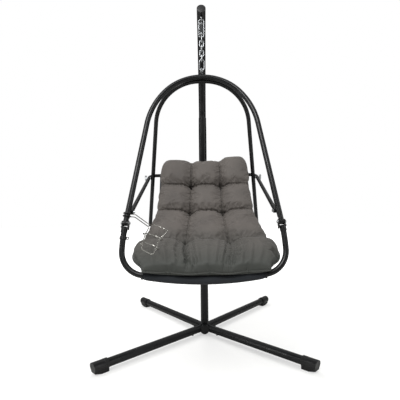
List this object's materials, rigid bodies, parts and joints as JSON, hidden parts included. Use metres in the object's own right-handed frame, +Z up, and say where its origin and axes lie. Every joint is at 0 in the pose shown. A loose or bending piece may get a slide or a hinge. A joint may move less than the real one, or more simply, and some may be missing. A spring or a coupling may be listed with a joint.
{
  "type": "hanging egg chair",
  "caption": "Folding tube egg chair with sling, tufted cushion and wire bottle holder, hung by spring and chain from a post on four floor legs.",
  "frame": {"origin": "centre of the hub pad's underside, on the floor under the post's axis", "axes": "+Z up along the post; the chair looks along -Y; +X is the viewer's right"},
  "size_m": [1.148, 1.5013, 1.8383],
  "materials": {
    "frame": "satin",
    "plastic": "matte",
    "bright_steel": "polished",
    "dull_steel": "satin",
    "sling_cloth": "matte",
    "cushion_cloth": "matte"
  },
  "bodies": {
    "stand": {"hub": "frame", "hub_plugs": "plastic", "hub_pad": "plastic", "front_leg_left": "frame", "front_leg_right": "frame", "rear_leg_left": "frame", "rear_leg_right": "frame", "front_foot_left": "plastic", "front_foot_right": "plastic", "rear_foot_left": "plastic", "rear_foot_right": "plastic", "leg_bolts": "dull_steel", "post": "frame", "post_bolts": "dull_steel", "arm": "frame", "arm_plug": "plastic", "arm_staple": "bright_steel"},
    "spring_top": {"upper_draw_wire": "bright_steel", "coil_spring": "dull_steel"},
    "spring_low": {"lower_draw_wire": "bright_steel"},
    "chain": {"chain_links": "bright_steel", "snap_hook": "bright_steel"},
    "gate": {"snap_gate": "dull_steel"},
    "chair": {"hang_ring": "bright_steel", "front_arch": "frame", "arch_staple": "frame", "arch_tips": "frame", "hinge_sleeve": "frame", "rail_ears": "frame", "ear_bolts": "bright_steel", "hinge_bolts": "bright_steel", "sling": "sling_cloth", "cushion": "cushion_cloth"},
    "rear": {"rear_arch": "frame", "rear_caps": "plastic"},
    "back": {"back_rail": "frame", "back_hem": "sling_cloth", "lock_bolts": "bright_steel", "lock_wings": "bright_steel"},
    "seat": {"seat_rail": "frame", "rail_clevises": "frame", "rail_hem": "sling_cloth", "hem_ties": "plastic", "tube_ring": "plastic"},
    "holder": {"bottle_holder": "bright_steel", "holder_grips": "plastic"}
  },
  "joints": [
    {"name": "chair_swing", "type": "hinge", "parent": "stand", "child": "spring_top", "pos_m": [0, -0.49202, 1.77535], "axis": [-1, 0, 0], "range_deg": [-6, 25]},
    {"name": "spring_stretch", "type": "slide", "parent": "spring_top", "child": "spring_low", "axis": [0, 0, -1], "range_m": [0, 0.024], "stiffness_N_per_m": 58800, "springref_m": -0.0029, "deforming": ["coil_spring"]},
    {"name": "chair_sway", "type": "hinge", "parent": "spring_low", "child": "chain", "pos_m": [0, -0.50002, 1.68815], "axis": [0, -1, 0], "range_deg": [-8, 8]},
    {"name": "chair_twist", "type": "hinge", "parent": "chain", "child": "chair", "pos_m": [0, -0.50002, 1.5164], "axis": [0, 0, 1], "range_deg": [-20, 30]},
    {"name": "gate_open", "type": "hinge", "parent": "chain", "child": "gate", "pos_m": [-0.012, -0.50002, 1.5304], "axis": [0, 1, 0], "range_deg": [0, 20], "stiffness_Nm_per_rad": 0.05, "springref_deg": -22.92},
    {"name": "rear_arch_fold", "type": "hinge", "parent": "chair", "child": "rear", "pos_m": [0, -0.48002, 1.4663], "axis": [-1, 0, 0], "range_deg": [0, 36], "deforming": ["sling", "cushion"]},
    {"name": "back_rail_fold", "type": "hinge", "parent": "chair", "child": "back", "pos_m": [0, -0.69719, 0.80683], "axis": [1, 0, 0], "range_deg": [0, 43]},
    {"name": "seat_rail_fold", "type": "hinge", "parent": "chair", "child": "seat", "pos_m": [0, -0.73806, 0.75953], "axis": [-1, 0, 0], "range_deg": [0, 95]},
    {"name": "holder_turn", "type": "hinge", "parent": "chair", "child": "holder", "pos_m": [-0.34178, -0.73806, 0.75953], "axis": [0.1478, 0.3099, 0.9392], "range_deg": [-60, 0]}
  ],
  "couplings": [
    {"joint": "back_rail_fold", "follows": "rear_arch_fold", "ratio": 1.19}
  ]
}
